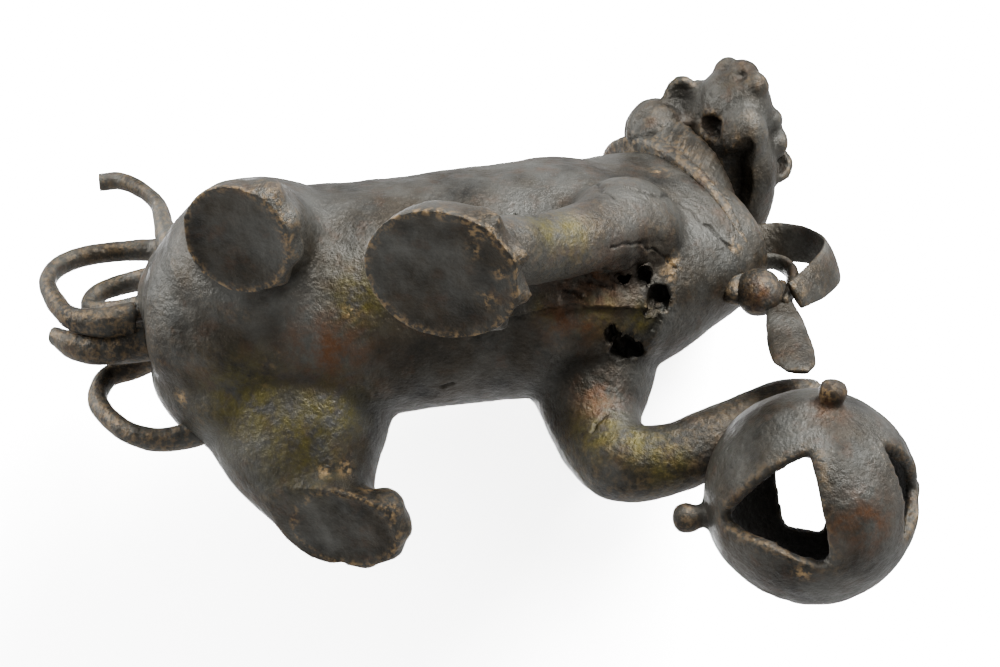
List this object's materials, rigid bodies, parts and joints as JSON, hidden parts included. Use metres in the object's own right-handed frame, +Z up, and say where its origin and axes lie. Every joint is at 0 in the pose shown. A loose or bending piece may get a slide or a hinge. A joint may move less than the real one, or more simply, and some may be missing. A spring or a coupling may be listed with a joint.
{
  "type": "guardian lion statue",
  "caption": "Small cast-bronze guardian lion standing with its head turned, a forepaw on an openwork ball, with collar, bell, ribbon and curling tail.",
  "frame": {"origin": "on the ground under the middle of the statue's box", "axes": "+Z up, the body lies along Y and faces -Y, the lion's left side is +X"},
  "size_m": [0.0844, 0.1744, 0.1101],
  "materials": {
    "patinated_bronze": "dark olive-brown patina with worn golden edges"
  },
  "bodies": {
    "root": {"guardian_lion": "patinated_bronze"}
  },
  "joints": []
}
